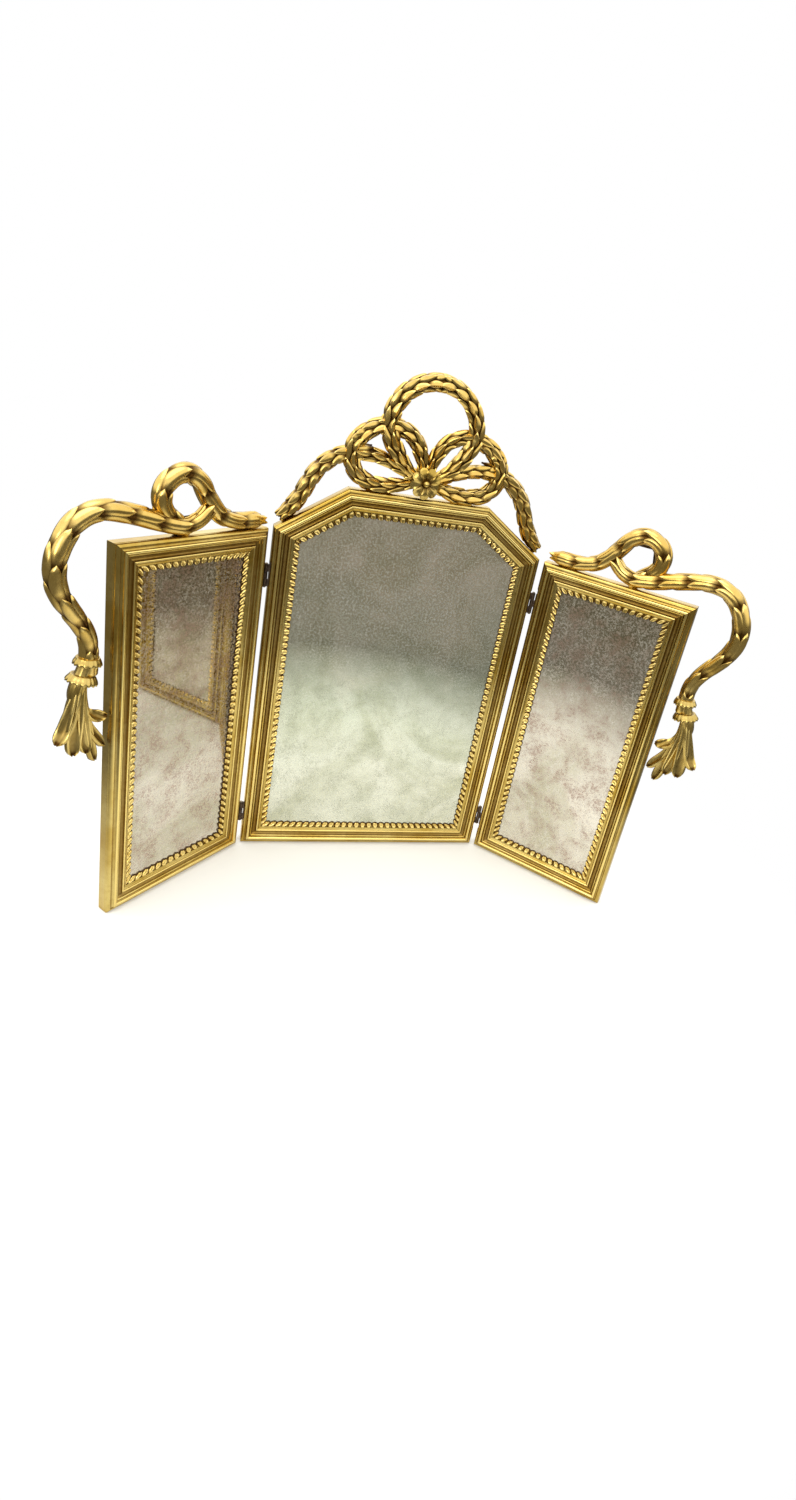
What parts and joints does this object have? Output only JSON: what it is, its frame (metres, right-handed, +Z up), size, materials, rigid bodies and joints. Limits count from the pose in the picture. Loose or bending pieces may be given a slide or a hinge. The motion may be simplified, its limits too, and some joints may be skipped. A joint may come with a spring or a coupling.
{
  "type": "folding table mirror",
  "caption": "Gilt folding mirror: a clipped-corner centre panel with a rope-and-bow crest, and hinged side wings with rope scrolls ending in tassels.",
  "frame": {"origin": "middle of the footprint at rest, on the surface that the mirror stands on", "axes": "+X to the viewer's right, +Y from the viewer towards the back of the mirror, +Z up"},
  "size_m": [1.0614, 0.265, 0.9068],
  "materials": {
    "gilt_moulding": "gold leaf over red-brown bole on a pine moulding, burnished on the crests, rubbed and toned in the hollows",
    "gilt_slip": "gold leaf on carved shell beads, dark toning between them",
    "gilt_rope": "gold leaf on carved laurel leaves, bright ridges and dark gaps",
    "gilt_ornament": "pale gold leaf on carved petals and acanthus leaves",
    "mirror_plate": "antiqued silvering, mottled olive grey with pinkish foxing",
    "back_pine": "bare aged pine",
    "hinge_bronze": "darkened brass butt hinges",
    "hinge_steel": "dull steel screws and pins"
  },
  "bodies": {
    "centre": {"centre_bottom_rail": "gilt_moulding", "centre_right_stile": "gilt_moulding", "centre_right_clip": "gilt_moulding", "centre_top_rail": "gilt_moulding", "centre_left_clip": "gilt_moulding", "centre_left_stile": "gilt_moulding", "centre_beaded_slip": "gilt_slip", "centre_mirror_glass": "mirror_plate", "centre_backing_board": "back_pine", "crest_bow": "gilt_rope", "crest_rosette": "gilt_ornament", "crest_left_swag": "gilt_rope", "crest_right_swag": "gilt_rope", "left_lower_hinge_centre_leaf": "hinge_bronze", "left_lower_hinge_pin": "hinge_steel", "left_lower_hinge_centre_top_screw": "hinge_steel", "left_lower_hinge_centre_bottom_screw": "hinge_steel", "left_upper_hinge_centre_leaf": "hinge_bronze", "left_upper_hinge_pin": "hinge_steel", "left_upper_hinge_centre_top_screw": "hinge_steel", "left_upper_hinge_centre_bottom_screw": "hinge_steel", "right_lower_hinge_centre_leaf": "hinge_bronze", "right_lower_hinge_pin": "hinge_steel", "right_lower_hinge_centre_top_screw": "hinge_steel", "right_lower_hinge_centre_bottom_screw": "hinge_steel", "right_upper_hinge_centre_leaf": "hinge_bronze", "right_upper_hinge_pin": "hinge_steel", "right_upper_hinge_centre_top_screw": "hinge_steel", "right_upper_hinge_centre_bottom_screw": "hinge_steel"},
    "left_wing": {"left_wing_bottom_rail": "gilt_moulding", "left_wing_inner_stile": "gilt_moulding", "left_wing_top_rail": "gilt_moulding", "left_wing_outer_stile": "gilt_moulding", "left_wing_beaded_slip": "gilt_slip", "left_wing_mirror_glass": "mirror_plate", "left_wing_backing_board": "back_pine", "left_wing_scroll": "gilt_rope", "left_wing_tassel": "gilt_ornament", "left_lower_hinge_wing_leaf": "hinge_bronze", "left_lower_hinge_wing_top_screw": "hinge_steel", "left_lower_hinge_wing_bottom_screw": "hinge_steel", "left_upper_hinge_wing_leaf": "hinge_bronze", "left_upper_hinge_wing_top_screw": "hinge_steel", "left_upper_hinge_wing_bottom_screw": "hinge_steel"},
    "right_wing": {"right_wing_bottom_rail": "gilt_moulding", "right_wing_inner_stile": "gilt_moulding", "right_wing_top_rail": "gilt_moulding", "right_wing_outer_stile": "gilt_moulding", "right_wing_beaded_slip": "gilt_slip", "right_wing_mirror_glass": "mirror_plate", "right_wing_backing_board": "back_pine", "right_wing_scroll": "gilt_rope", "right_wing_tassel": "gilt_ornament", "right_lower_hinge_wing_leaf": "hinge_bronze", "right_lower_hinge_wing_top_screw": "hinge_steel", "right_lower_hinge_wing_bottom_screw": "hinge_steel", "right_upper_hinge_wing_leaf": "hinge_bronze", "right_upper_hinge_wing_top_screw": "hinge_steel", "right_upper_hinge_wing_bottom_screw": "hinge_steel"}
  },
  "joints": [
    {"name": "left_wing_hinge", "type": "hinge", "parent": "centre", "child": "left_wing", "pos_m": [-0.2428, 0.11451, 0.3083], "axis": [0, 0, 1], "range_deg": [-62, 68]},
    {"name": "right_wing_hinge", "type": "hinge", "parent": "centre", "child": "right_wing", "pos_m": [0.2428, 0.11451, 0.3083], "axis": [0, 0, -1], "range_deg": [-62, 68]}
  ]
}
